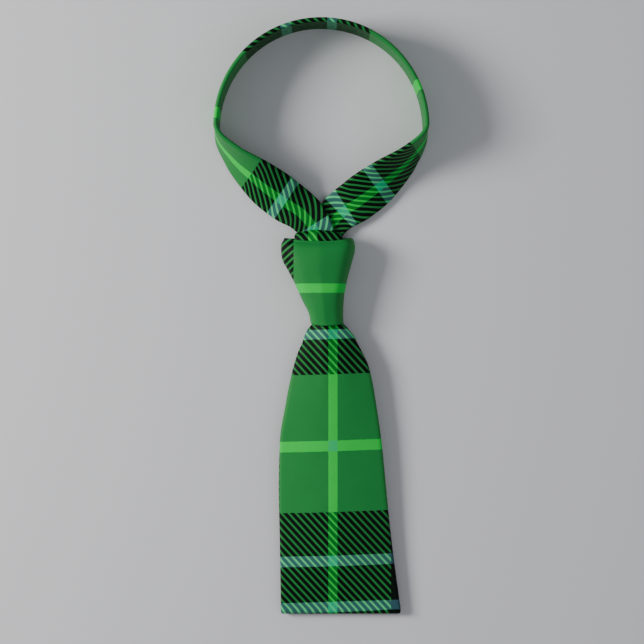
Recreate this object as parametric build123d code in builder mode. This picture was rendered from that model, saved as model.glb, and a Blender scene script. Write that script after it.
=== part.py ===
from build123d import *
import os
from math import cos, radians, sin, sqrt

# A four-in-hand necktie, tied and laid on its back, with the knot's flat back on the origin.
# +Y points up the tie to the neck, +X to the right and +Z out of the front. Millimetres.
os.makedirs("parts", exist_ok=True)

# ---- cloth and clearances ----
silk = 0.5                # folded face cloth of the front blade
thin_silk = 0.4           # folded face cloth of the narrow end and the neck
lining_gap = 0.1          # between the face cloth and the interlining
layer_gap = 0.3           # between pieces that move past each other
seam_gap = 0.6            # where the two folded edges nearly meet at the back
thread = 0.4              # thickness of the sewing thread and its knots

# ---- front blade ----
mouth_down = 26.0         # knot's lower lip, below the origin
mouth_width = 22.8        # across the lip
blade_length = 193.0      # from the lip to the fold at the hem
blade_width = 81.6        # across the blade at the hem
hem_center = 9.2          # the blade leans to the right on its way down
blade_thickness = 3.0
gather_thickness = 7.2    # the blade is bunched where it leaves the knot
least_fold_opening = 0.8  # clear height inside the fold at the hem
tip_straight = 12.0       # parallel part of the tip before its right-angled point
turn_in = 10.0            # width of face cloth turned in round the lining of a tip

# ---- narrow end (tail) ----
tail_width = 36.0
tail_neck_width = 15.6    # squeezed in the knot
tail_neck_thickness = 4.6
tail_thickness = 2.4
tail_fold_opening = 0.4
tail_top = -18.0          # upper end of the tail, inside the knot
tail_neck_end = 58.0      # below this it spreads out
tail_hem_center = 4.0
tail_end_reach = 57.5     # the folded end stops this far below the origin
fold_clearance = 11.0     # between the tail's fold and the point of the tip
tail_turn_in = 6.0

# ---- knot ----
wrap = 2.6                # cloth of one turn round the knot
knot_foot = 7.0           # how far the rounded form carries on below its flat back
knot_corner = 8.5
knot_top = 31.0
arch_floor = 9.0          # underside of the inner wrap, above the passage for the tail
inner_wrap_down = 14.0    # the inner wrap ends this far below the origin
bridge_radius = 5.8
bridge_width = 32.0
bridge_center = -6.0

# ---- neck loop ----
loop_axis = -4.25         # the loop is even about this line
loop_center = 106.0
loop_radius = 70.25
neck_width = 36.0
neck_thickness = 2.4
leg_width_in_knot = 22.0
leg_split = 1.75          # each leg enters the knot this far to its own side
leg_end = 0.0             # lower end of the legs, inside the knot
hinge_up = 38.5           # line at which the loop tilts on its legs

# ---- trim on the back of the blade ----
keeper_down = 70.0        # below the lip
keeper_span = 46.0
keeper_height = 10.0
keeper_drop = 1.3
label_size = (40.0, 16.0)
care_label_size = (16.0, 11.0)
label_thickness = 0.3
label_margin = 3.0        # between the keeper and the label
label_spacing = 1.0       # between the two labels
label_stitch_inset = 2.0
bar_tack_size = (7.0, 1.6)
bar_tack_up = 20.0        # above the hem
stitch_pitch = 13.0
stitch_size = (2.6, 0.7)

# ---- places that follow from the sizes above ----
blade_top = mouth_down + layer_gap
hem_down = mouth_down + blade_length
tail_hem_axis = tail_thickness + tail_fold_opening / 2
tail_bottom = tail_thickness + tail_fold_opening
mouth_bottom = tail_bottom + tail_neck_thickness + wrap
tip_length = tip_straight + blade_width / 2
tail_hem_down = hem_down - tip_length - fold_clearance
# the blade slopes from the lip to its hem, and its stitches clear the tail's fold on the way
over_tail = tail_bottom + tail_thickness + 2 * lining_gap + thread
fold_share = (hem_down - tail_hem_down) / blade_length
hem_clearing_tail = (over_tail - mouth_bottom * fold_share) / (1 - fold_share)
fold_opening = max(least_fold_opening, hem_clearing_tail - blade_thickness)
hem_axis = blade_thickness + fold_opening / 2
hem_bottom = blade_thickness + fold_opening
blade_rise = (mouth_bottom - hem_bottom) / blade_length
right_leg_bottom = tail_bottom + layer_gap
left_leg_bottom = right_leg_bottom + neck_thickness + layer_gap + lining_gap


def finish_part(piece, name):
    """Names a finished piece and writes it."""
    piece.label = name
    export_step(piece, f"parts/{name}.step")


def lofted_strip(stations, inset):
    """Flat cloth band down the tie: each station is distance down, centre, width, bottom and thickness."""
    with BuildPart() as strip:
        for down, center, width, bottom, thickness in stations:
            with BuildSketch(Plane.XZ.offset(down)):
                with Locations((center, bottom + thickness / 2)):
                    RectangleRounded(width - 2 * inset, thickness - 2 * inset, 0.45 * thickness - inset)
        loft(ruled=True)
    return strip.part


def point_outline(width, straight, inset):
    """Outline of a pointed tip from its fold line at y = 0, with every edge but the fold moved in."""
    half = width / 2 - inset
    shoulder = straight - inset * (sqrt(2) - 1)
    Polygon((-half, 0), (half, 0), (half, shoulder), (0, shoulder + half), (-half, shoulder), align=None)


def half_ring(start, width, down, height, outer, inner):
    """Cloth turned through half a circle round a line across the tie, opening up the tie."""
    with BuildPart() as ring:
        with BuildSketch(Plane.YZ.offset(start)):
            with Locations((-down, height)):
                Circle(outer)
                Circle(inner, mode=Mode.SUBTRACT)
                Rectangle(outer, 2 * outer, align=(Align.MIN, Align.CENTER), mode=Mode.SUBTRACT)
        extrude(amount=width)
    return ring.part


# ---- front blade ----
def blade_station(down, center, width, thickness):
    """One cross-section of the blade, on the slope from the lip to the hem."""
    return (down, center, width, hem_bottom + (hem_down - down) * blade_rise, thickness)


blade_stations = [
    blade_station(blade_top, 0.0, mouth_width, gather_thickness),
    blade_station(mouth_down + 12, 1.3, 36.5, 6.2),
    blade_station(mouth_down + 28, 2.4, 51.0, 4.6),
    blade_station(mouth_down + 54, 2.4, 61.3, 3.4),
    blade_station(mouth_down + 84, 2.1, 69.3, blade_thickness),
    blade_station(hem_down, hem_center, blade_width, blade_thickness),
]
blade_back = Plane(
    origin=(0, -mouth_down, mouth_bottom),
    x_dir=(1, 0, 0),
    z_dir=(0, blade_rise, -1),
)
blade_cavity = lofted_strip(blade_stations, silk)

with BuildPart() as front_blade_shell:
    add(lofted_strip(blade_stations, 0))
    add(blade_cavity, mode=Mode.SUBTRACT)
    with BuildSketch(blade_back):
        with BuildLine():
            seam_top = (0, layer_gap)
            seam_end = (hem_center, blade_length)
            Polyline(
                (seam_top[0] - seam_gap / 2, seam_top[1]),
                (seam_end[0] - seam_gap / 2, seam_end[1]),
                (seam_end[0] + seam_gap / 2, seam_end[1]),
                (seam_top[0] + seam_gap / 2, seam_top[1]),
                close=True,
            )
        make_face()
    extrude(amount=1.5 * silk, both=True, mode=Mode.SUBTRACT)
finish_part(front_blade_shell.part, "front_blade_shell")

finish_part(lofted_strip(blade_stations, silk + lining_gap), "front_blade_interlining")

front_fold_inner = fold_opening / 2
front_fold_outer = front_fold_inner + blade_thickness
front_fold_start = hem_center - blade_width / 2
finish_part(
    half_ring(front_fold_start, blade_width, hem_down, hem_axis, front_fold_outer, front_fold_inner),
    "front_hem_fold",
)


# ---- trim sewn to the back of the blade ----
def seam_x(distance):
    """Where the back seam runs, this far below the lip."""
    return hem_center * distance / blade_length


with BuildPart() as keeper_loop:
    with BuildSketch(blade_back.offset(lining_gap)):
        with Locations((seam_x(keeper_down), keeper_down)):
            Rectangle(keeper_span, keeper_height)
    extrude(amount=keeper_drop)
    with BuildSketch(blade_back):
        with Locations((seam_x(keeper_down), keeper_down)):
            Rectangle(keeper_span - 4 * thread, keeper_height)
    extrude(amount=keeper_drop + lining_gap - thread, mode=Mode.SUBTRACT)
finish_part(keeper_loop.part, "keeper_loop")

label_down = keeper_down + keeper_height / 2 + label_margin + label_size[1] / 2
with BuildPart() as maker_label:
    with BuildSketch(blade_back.offset(lining_gap)):
        with Locations((seam_x(label_down), label_down)):
            Rectangle(*label_size)
    extrude(amount=label_thickness)
finish_part(maker_label.part, "maker_label")

care_down = label_down + label_size[1] / 2 + label_spacing + care_label_size[1] / 2
with BuildPart() as care_label:
    with BuildSketch(blade_back.offset(lining_gap)):
        with Locations((seam_x(care_down), care_down)):
            Rectangle(*care_label_size)
    extrude(amount=label_thickness)
finish_part(care_label.part, "care_label")

stitch_across = label_size[0] / 2 - label_stitch_inset
stitch_along = label_size[1] / 2 - label_stitch_inset
label_corners = [
    (seam_x(label_down) + side * stitch_across, label_down + end * stitch_along)
    for side in (-1, 1)
    for end in (-1, 1)
]
with BuildPart() as label_stitches:
    with BuildSketch(blade_back.offset(lining_gap + label_thickness)):
        with Locations(*label_corners):
            Rectangle(*stitch_size)
    extrude(amount=thread / 2)
finish_part(label_stitches.part, "label_stitches")

with BuildPart() as front_bar_tack:
    with BuildSketch(blade_back.offset(lining_gap)):
        with Locations((seam_x(blade_length - bar_tack_up), blade_length - bar_tack_up)):
            Rectangle(*bar_tack_size)
    extrude(amount=thread)
finish_part(front_bar_tack.part, "front_bar_tack")

first_stitch = care_down + care_label_size[1] / 2 + stitch_size[1]
stitch_count = int((blade_length - bar_tack_up - first_stitch) / stitch_pitch)
with BuildPart() as front_slip_stitches:
    with BuildSketch(blade_back.offset(lining_gap)):
        for number in range(stitch_count):
            stitch_down = first_stitch + (number + 0.5) * stitch_pitch
            with Locations((seam_x(stitch_down), stitch_down)):
                Rectangle(*stitch_size)
    extrude(amount=thread)
finish_part(front_slip_stitches.part, "front_slip_stitches")


# ---- the two pointed ends, each folded under at its hem ----
def pointed_end(prefix, fold, width, straight, thickness, cloth, turned):
    """Shell, interlining and lining of one tip that lies under its own blade, back face up."""
    with BuildPart() as shell:
        with BuildSketch(fold):
            point_outline(width, straight, 0)
        extrude(amount=thickness)
        with BuildSketch(fold.offset(cloth)):
            point_outline(width, straight, cloth)
        extrude(amount=thickness - 2 * cloth, mode=Mode.SUBTRACT)
        with BuildSketch(fold.offset(thickness - cloth)):
            point_outline(width, straight, turned)
        extrude(amount=cloth, mode=Mode.SUBTRACT)
    finish_part(shell.part, f"{prefix}_shell")
    with BuildPart() as interlining:
        with BuildSketch(fold.offset(cloth + lining_gap)):
            point_outline(width, straight, cloth + lining_gap)
        extrude(amount=thickness - 2 * (cloth + lining_gap))
    finish_part(interlining.part, f"{prefix}_interlining")
    with BuildPart() as lining:
        with BuildSketch(fold.offset(thickness - cloth)):
            point_outline(width, straight, turned + lining_gap)
        extrude(amount=cloth)
    finish_part(lining.part, f"{prefix}_lining")


pointed_end(
    "front_tip",
    Plane((hem_center, -hem_down + layer_gap, 0)),
    blade_width,
    tip_straight - layer_gap,
    blade_thickness,
    silk,
    turn_in,
)
pointed_end(
    "tail_end",
    Plane((tail_hem_center, -tail_hem_down + layer_gap, 0)),
    tail_width,
    tail_hem_down - tail_end_reach - tail_width / 2 - layer_gap,
    tail_thickness,
    thin_silk,
    tail_turn_in,
)

# ---- tail ----
tail_stations = [
    (-tail_top, 0.0, tail_neck_width, tail_bottom, tail_neck_thickness),
    (tail_neck_end, 0.0, tail_neck_width, tail_bottom, tail_neck_thickness),
    (tail_neck_end + 16, 0.8, 27.0, tail_bottom, 3.2),
    (tail_neck_end + 34, 1.6, 33.0, tail_bottom, tail_thickness),
    (tail_hem_down, tail_hem_center, tail_width, tail_bottom, tail_thickness),
]
tail_cavity = lofted_strip(tail_stations, thin_silk)

with BuildPart() as tail_shell:
    add(lofted_strip(tail_stations, 0))
    add(tail_cavity, mode=Mode.SUBTRACT)
finish_part(tail_shell.part, "tail_shell")

finish_part(lofted_strip(tail_stations, thin_silk + lining_gap), "tail_interlining")

tail_fold_inner = tail_fold_opening / 2
tail_fold_outer = tail_fold_inner + tail_thickness
tail_fold_start = tail_hem_center - tail_width / 2
finish_part(
    half_ring(tail_fold_start, tail_width, tail_hem_down, tail_hem_axis, tail_fold_outer, tail_fold_inner),
    "tail_hem_fold",
)

# ---- knot ----
knot_stations = [
    (mouth_down, -mouth_width / 2, mouth_width / 2, 21.0),
    (10.0, -17.0, 11.6, 24.0),
    (-6.0, -24.5, 13.8, 26.0),
    (-16.0, -30.0, 16.8, 27.0),
    (-26.0, -31.5, 19.0, 25.0),
    (-knot_top, -28.0, 16.0, 20.0),
]


def knot_form(inset):
    """The knot's rounded bundle, moved in all round, carried on below its flat back."""
    with BuildPart() as form:
        for down, left, right, height in knot_stations:
            with BuildSketch(Plane.XZ.offset(down)):
                width = right - left - 2 * inset
                depth = height + knot_foot - 2 * inset
                with Locations(((left + right) / 2, (height - knot_foot) / 2)):
                    RectangleRounded(width, depth, knot_corner - inset)
        loft(ruled=True)
    return form.part


knot_body = knot_form(0)
under_front_wrap = knot_form(wrap)
inside_front_wrap = knot_form(wrap + layer_gap)
under_inner_wrap = knot_form(2 * wrap + layer_gap)

with BuildPart() as knot_back_wrap:
    add(knot_body)
    split(bisect_by=Plane.XY, keep=Keep.TOP)
    split(bisect_by=Plane.XY.offset(tail_thickness), keep=Keep.BOTTOM)
finish_part(knot_back_wrap.part, "knot_back_wrap")

with BuildPart() as knot_front_wrap:
    add(knot_body)
    add(under_front_wrap, mode=Mode.SUBTRACT)
    split(bisect_by=Plane.XY.offset(tail_thickness + layer_gap), keep=Keep.TOP)
finish_part(knot_front_wrap.part, "knot_front_wrap")

with BuildPart() as knot_inner_wrap:
    add(inside_front_wrap)
    add(under_inner_wrap, mode=Mode.SUBTRACT)
    split(bisect_by=Plane.XY.offset(arch_floor), keep=Keep.TOP)
    split(bisect_by=Plane.XZ.offset(inner_wrap_down), keep=Keep.BOTTOM)
finish_part(knot_inner_wrap.part, "knot_inner_wrap")



def knot_size(down):
    """Width and height of the knot this far below the origin."""
    for low, high in zip(knot_stations, knot_stations[1:]):
        if low[0] >= down >= high[0]:
            share = (low[0] - down) / (low[0] - high[0])
            left, right, height = (a + share * (b - a) for a, b in zip(low[1:], high[1:]))
            return right - left, height


def gather_station(down, center, turns, side_room, head_room):
    """The blade's bunched cloth inside so many turns of wrap, with room at its sides and above it."""
    width, height = knot_size(down)
    walls = turns * wrap + (turns - 1) * layer_gap
    thickness = height - walls - head_room - mouth_bottom
    return (down, center, width - 2 * (walls + side_room), mouth_bottom, thickness)


gather_stations = [
    gather_station(mouth_down - layer_gap, 0.0, 1, 0.85, 1.86),
    gather_station(15.0, -1.5, 2, 0.89, 0.96),
    gather_station(-6.0, -5.4, 2, 2.15, 2.1),
    gather_station(-26.0, bridge_center, 2, 1.75, 1.5),
]
finish_part(lofted_strip(gather_stations, 0), "knot_blade_gather")

with BuildPart() as knot_top_bridge:
    with BuildSketch(Plane.YZ.offset(bridge_center - bridge_width / 2)):
        with Locations((knot_top + layer_gap, arch_floor + bridge_radius)):
            Circle(bridge_radius)
            Circle(bridge_radius - wrap, mode=Mode.SUBTRACT)
            Rectangle(bridge_radius, 2 * bridge_radius, align=(Align.MAX, Align.CENTER), mode=Mode.SUBTRACT)
    extrude(amount=bridge_width)
finish_part(knot_top_bridge.part, "knot_top_bridge")

# ---- neck loop ----
leg_path = [
    # out from the loop's middle line, up the tie, direction out and up, width, lean, share of root height
    (leg_split, hinge_up + layer_gap, 0.0, 1.0, leg_width_in_knot, 0, 1.0),
    (12.0, 49.5, 0.72, 0.69, 26.0, 0, 1.0),
    (25.0, 58.0, 0.78, 0.63, 30.0, 18, 0.7),
    (41.0, 70.5, 0.76, 0.65, 34.0, 42, 0.35),
    (58.5, 86.5, 0.60, 0.80, 35.5, 68, 0.1),
    (loop_radius, loop_center, 0.0, 1.0, neck_width, 90, 0.0),
]


def loop_leg(side, root_bottom, inset):
    """One side of the loop, twisting from flat at the knot to standing on its edge beside the neck."""
    with BuildPart() as leg:
        for out, up, out_step, up_step, width, lean, share in leg_path:
            tilt = radians(lean)
            middle = share * root_bottom + width / 2 * sin(tilt) + neck_thickness / 2 * cos(tilt)
            across = (-side * up_step * cos(tilt), out_step * cos(tilt), sin(tilt))
            station = Plane(
                origin=(loop_axis + side * out, up, middle),
                x_dir=across,
                z_dir=(side * out_step, up_step, 0),
            )
            with BuildSketch(station):
                RectangleRounded(width - 2 * inset, neck_thickness - 2 * inset, 0.45 * neck_thickness - inset)
        loft(ruled=True)
    return leg.part


def loop_back(inset):
    """Back of the loop, standing on its edge round the back of the neck."""
    with BuildPart() as back:
        with BuildSketch(Plane.XY.offset(inset)):
            with Locations((loop_axis, loop_center)):
                Circle(loop_radius + neck_thickness / 2 - inset)
                Circle(loop_radius - neck_thickness / 2 + inset, mode=Mode.SUBTRACT)
                Rectangle(
                    3 * loop_radius,
                    2 * loop_radius,
                    align=(Align.CENTER, Align.MAX),
                    mode=Mode.SUBTRACT,
                )
        extrude(amount=neck_width - 2 * inset)
    return back.part


for leg_name, side, root_bottom in (("left", -1, left_leg_bottom), ("right", 1, right_leg_bottom)):
    leg_cavity = loop_leg(side, root_bottom, thin_silk)
    with BuildPart() as leg_shell:
        add(loop_leg(side, root_bottom, 0))
        add(leg_cavity, mode=Mode.SUBTRACT)
    finish_part(leg_shell.part, f"{leg_name}_leg_shell")
    finish_part(loop_leg(side, root_bottom, thin_silk + lining_gap), f"{leg_name}_leg_interlining")
    root_center = loop_axis + side * leg_split
    root_stations = [
        (-leg_end, root_center, leg_width_in_knot, root_bottom, neck_thickness),
        (-hinge_up, root_center, leg_width_in_knot, root_bottom, neck_thickness),
    ]
    finish_part(lofted_strip(root_stations, 0), f"{leg_name}_leg_root")

back_cavity = loop_back(thin_silk)
with BuildPart() as neck_back_shell:
    add(loop_back(0))
    add(back_cavity, mode=Mode.SUBTRACT)
finish_part(neck_back_shell.part, "neck_back_shell")
finish_part(loop_back(thin_silk + lining_gap), "neck_back_interlining")
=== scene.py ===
# Tartan silk necktie in a four-in-hand knot: cloth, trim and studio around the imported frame.
import bisect
import functools
import math
import bmesh
import bpy
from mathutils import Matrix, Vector


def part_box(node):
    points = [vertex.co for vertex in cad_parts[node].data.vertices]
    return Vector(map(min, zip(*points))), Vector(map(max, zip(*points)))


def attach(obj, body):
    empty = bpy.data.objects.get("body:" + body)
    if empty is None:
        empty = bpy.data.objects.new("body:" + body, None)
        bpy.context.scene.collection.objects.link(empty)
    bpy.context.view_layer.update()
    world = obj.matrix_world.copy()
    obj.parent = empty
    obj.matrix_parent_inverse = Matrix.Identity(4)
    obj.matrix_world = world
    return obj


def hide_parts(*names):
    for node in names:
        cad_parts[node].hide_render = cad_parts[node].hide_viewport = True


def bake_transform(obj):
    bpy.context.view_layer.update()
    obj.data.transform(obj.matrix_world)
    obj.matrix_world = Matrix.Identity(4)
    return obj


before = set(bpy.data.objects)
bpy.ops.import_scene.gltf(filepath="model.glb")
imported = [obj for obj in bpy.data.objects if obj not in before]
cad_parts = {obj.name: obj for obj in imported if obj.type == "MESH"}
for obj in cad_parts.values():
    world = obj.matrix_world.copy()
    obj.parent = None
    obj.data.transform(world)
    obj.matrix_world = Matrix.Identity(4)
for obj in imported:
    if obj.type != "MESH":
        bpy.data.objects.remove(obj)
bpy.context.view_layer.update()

mm = 0.001


# small helpers

def ease(low, high, at):
    share = min(max((at - low) / (high - low), 0.0), 1.0)
    return share * share * (3 - 2 * share)


def smoothThrough(stations, at):
    # smooth curve through (place, value) stations, level beyond the ends
    places = [station[0] for station in stations]
    values = [station[1] for station in stations]
    if at <= places[0]:
        return values[0]
    if at >= places[-1]:
        return values[-1]
    secants = [(values[i + 1] - values[i]) / (places[i + 1] - places[i]) for i in range(len(places) - 1)]

    def slope(i):
        if i == 0:
            return secants[0]
        if i == len(secants):
            return secants[-1]
        before, after = secants[i - 1], secants[i]
        if before * after <= 0:
            return 0.0
        return 2 * before * after / (before + after)

    i = bisect.bisect_right(places, at) - 1
    span = places[i + 1] - places[i]
    t = (at - places[i]) / span
    start = values[i] * (1 + 2 * t) * (1 - t) ** 2 + slope(i) * span * t * (1 - t) ** 2
    end = values[i + 1] * t * t * (3 - 2 * t) + slope(i + 1) * span * t * t * (t - 1)
    return start + end


def spread(low, high, count):
    return [low + (high - low) * i / (count - 1) for i in range(count)]


def makeObject(name, bm, material, wall=0.0, offset=-1.0):
    for face in bm.faces:
        face.smooth = True
    for edge in bm.edges:
        edge.smooth = not edge.is_boundary
    mesh = bpy.data.meshes.new(name)
    bm.to_mesh(mesh)
    bm.free()
    obj = bpy.data.objects.new(name, mesh)
    bpy.context.scene.collection.objects.link(obj)
    mesh.materials.append(material)
    if wall:
        solidify = obj.modifiers.new("cloth wall", "SOLIDIFY")
        solidify.thickness = wall
        solidify.offset = offset
        solidify.use_even_offset = False
    return obj


def gridOver(columns, rows, place, cloth, closed=False):
    # a grid whose vertices move to place(column, row), with cloth(column, row) as UVs in metres of flat cloth
    bm = bmesh.new()
    bmesh.ops.create_grid(bm, x_segments=len(columns) - 1, y_segments=len(rows) - 1, size=0.5)
    uvs = bm.loops.layers.uv.new("cloth")
    where = {}
    for vert in bm.verts:
        column = columns[round((vert.co.x + 0.5) * (len(columns) - 1))]
        row = rows[round((vert.co.y + 0.5) * (len(rows) - 1))]
        where[vert] = (column, row)
    for face in bm.faces:
        for loop in face.loops:
            loop[uvs].uv = cloth(*where[loop.vert])
    for vert in bm.verts:
        vert.co = place(*where[vert])
    if closed:
        bmesh.ops.remove_doubles(bm, verts=bm.verts[:], dist=1e-6)
        bmesh.ops.recalc_face_normals(bm, faces=bm.faces[:])
    else:
        bmesh.ops.reverse_faces(bm, faces=bm.faces[:])
    return bm


# the folded section of a tie: in from the back seam, round one edge, over the front, round the other and back
sectionCounts = {"flap": 11, "edge": 6, "front": 45, "flapStart": 0.08}


def sectionColumns():
    flaps = spread(sectionCounts["flapStart"], 1, sectionCounts["flap"])
    edges = spread(0, 1, sectionCounts["edge"])
    columns = [("flap", -1, share) for share in reversed(flaps)]
    columns += [("edge", -1, share) for share in edges]
    columns += [("front", 0, share) for share in spread(-1, 1, sectionCounts["front"])[1:-1]]
    columns += [("edge", 1, share) for share in reversed(edges)]
    columns += [("flap", 1, share) for share in flaps]
    return columns


def sectionPoint(column, halfWidth, halfThick, flap):
    # across, out of the front, and the distance over the cloth from the middle of the front
    kind, side, share = column
    flat = max(halfWidth - halfThick, 0.0001)
    if kind == "front":
        return share * flat, halfThick, share * flat
    if kind == "edge":
        angle = math.pi * (share - 0.5)
        over = flat + halfThick * math.pi * (1 - share)
        return side * (flat + halfThick * math.cos(angle)), halfThick * math.sin(angle), side * over
    inward = share * max(flap - halfThick, 0.00005)
    return side * (flat - inward), -halfThick, side * (flat + halfThick * math.pi + inward)


def makeStrip(point, cloth, halfWidth, halfThick, flap):
    # a long piece of cloth: where it lies, its flat place, and its section at each place along it
    return {"point": point, "cloth": cloth, "halfWidth": halfWidth, "halfThick": halfThick, "flap": flap}


def foldedCloth(name, strip, rows, material, wall):
    def section(column, row):
        return sectionPoint(column, strip["halfWidth"](row), strip["halfThick"](row), strip["flap"](row))

    def place(column, row):
        across, out, over = section(column, row)
        return strip["point"](row, across, out)

    def cloth(column, row):
        across, out, over = section(column, row)
        return strip["cloth"](row, across, over)

    return makeObject(name, gridOver(sectionColumns(), rows, place, cloth), material, wall)


def clothSlab(name, strip, rows, material, widthAt, out, thick, columns=37):
    # a flat layer inside or on a strip: interlining, lining or label
    def place(column, row):
        return strip["point"](row, column * widthAt(row), out)

    def cloth(column, row):
        return strip["cloth"](row, column * widthAt(row), column * widthAt(row))

    return makeObject(name, gridOver(spread(-1, 1, columns), rows, place, cloth), material, thick, 0.0)


# materials

print("materials")

tartan = {
    "ground": (0.017, 0.195, 0.040),
    "line": (0.0008, 0.53, 0.052),
    "black": (0.0004, 0.0030, 0.0012),
    "slate": (0.032, 0.092, 0.118),
    "overlay": (0.0005, 0.42, 0.19),
    # lengths of each band down the tie and across it, in millimetres of cloth
    "down": [("ground", 44.2), ("line", 7.3), ("ground", 40.8), ("black", 30.1),
             ("slate", 6.9), ("black", 24.4), ("slate", 6.9), ("black", 23.8)],
    "across": [("line", 5.9), ("ground", 36.3), ("black", 24.9), ("slate", 6.2),
               ("black", 19.8), ("slate", 6.2), ("black", 24.8), ("ground", 33.3)],
    "hatchPitch": 3.59,
    "hatchAngle": 48,
    "hatchShare": 0.36,
    "hatchBlur": 0.05,
    # how much of the crossing threads' colour the hatch and the dark bands show
    "blackShows": 0.9,
    "slateShows": 2.2,
    "slateTint": 0.20,
    # how strongly the bright line shows over each kind of band
    "glowBlack": 0.26,
    "glowSlate": 0.8,
    "glowLine": 0.55,
    "threadShake": 0.7,
}
bandRank = {"ground": 0.0, "line": 0.3, "black": 0.6, "slate": 0.9}


def addNode(tree, kind, **settings):
    node = tree.nodes.new(kind)
    for key, value in settings.items():
        setattr(node, key, value)
    return node


def mathNode(tree, operation, first, second=None, third=None):
    node = addNode(tree, "ShaderNodeMath", operation=operation)
    for index, value in enumerate((first, second, third)):
        if value is None:
            continue
        if isinstance(value, (int, float)):
            node.inputs[index].default_value = value
        else:
            tree.links.new(value, node.inputs[index])
    return node.outputs[0]


def mixColour(tree, factor, first, second):
    node = addNode(tree, "ShaderNodeMix", data_type="RGBA")
    for socket, value in ((node.inputs[0], factor), (node.inputs[6], first), (node.inputs[7], second)):
        if isinstance(value, (int, float)):
            socket.default_value = value
        elif isinstance(value, tuple):
            socket.default_value = (*value, 1.0)
        else:
            tree.links.new(value, socket)
    return node.outputs[2]


def noiseAt(tree, place, scale, detail):
    node = addNode(tree, "ShaderNodeTexNoise")
    node.inputs["Scale"].default_value = scale
    node.inputs["Detail"].default_value = detail
    tree.links.new(place, node.inputs["Vector"])
    return node.outputs[0]


def bandRamp(tree, place, bands, colourOf):
    # steps through the bands as place goes from 0 to 1
    node = addNode(tree, "ShaderNodeValToRGB")
    ramp = node.color_ramp
    ramp.interpolation = "CONSTANT"
    total = sum(length for name, length in bands)
    start = 0.0
    for index, (name, length) in enumerate(bands):
        stop = ramp.elements[0] if index == 0 else ramp.elements.new(start / total)
        stop.position = start / total
        stop.color = (*colourOf(name), 1.0)
        start += length
    while len(ramp.elements) > len(bands):
        ramp.elements.remove(ramp.elements[-1])
    tree.links.new(place, node.inputs[0])
    return node.outputs[0]


def repeatedPlace(tree, distance, bands, shift):
    total = sum(length for name, length in bands) * mm
    moved = mathNode(tree, "ADD", distance, shift)
    return mathNode(tree, "FRACT", mathNode(tree, "DIVIDE", moved, total))


def newGroup(name, inputs, outputs):
    tree = bpy.data.node_groups.new(name, "ShaderNodeTree")
    for label, kind in inputs:
        tree.interface.new_socket(label, in_out="INPUT", socket_type=kind)
    for label, kind in outputs:
        tree.interface.new_socket(label, in_out="OUTPUT", socket_type=kind)
    return tree, addNode(tree, "NodeGroupInput"), addNode(tree, "NodeGroupOutput")


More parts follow.
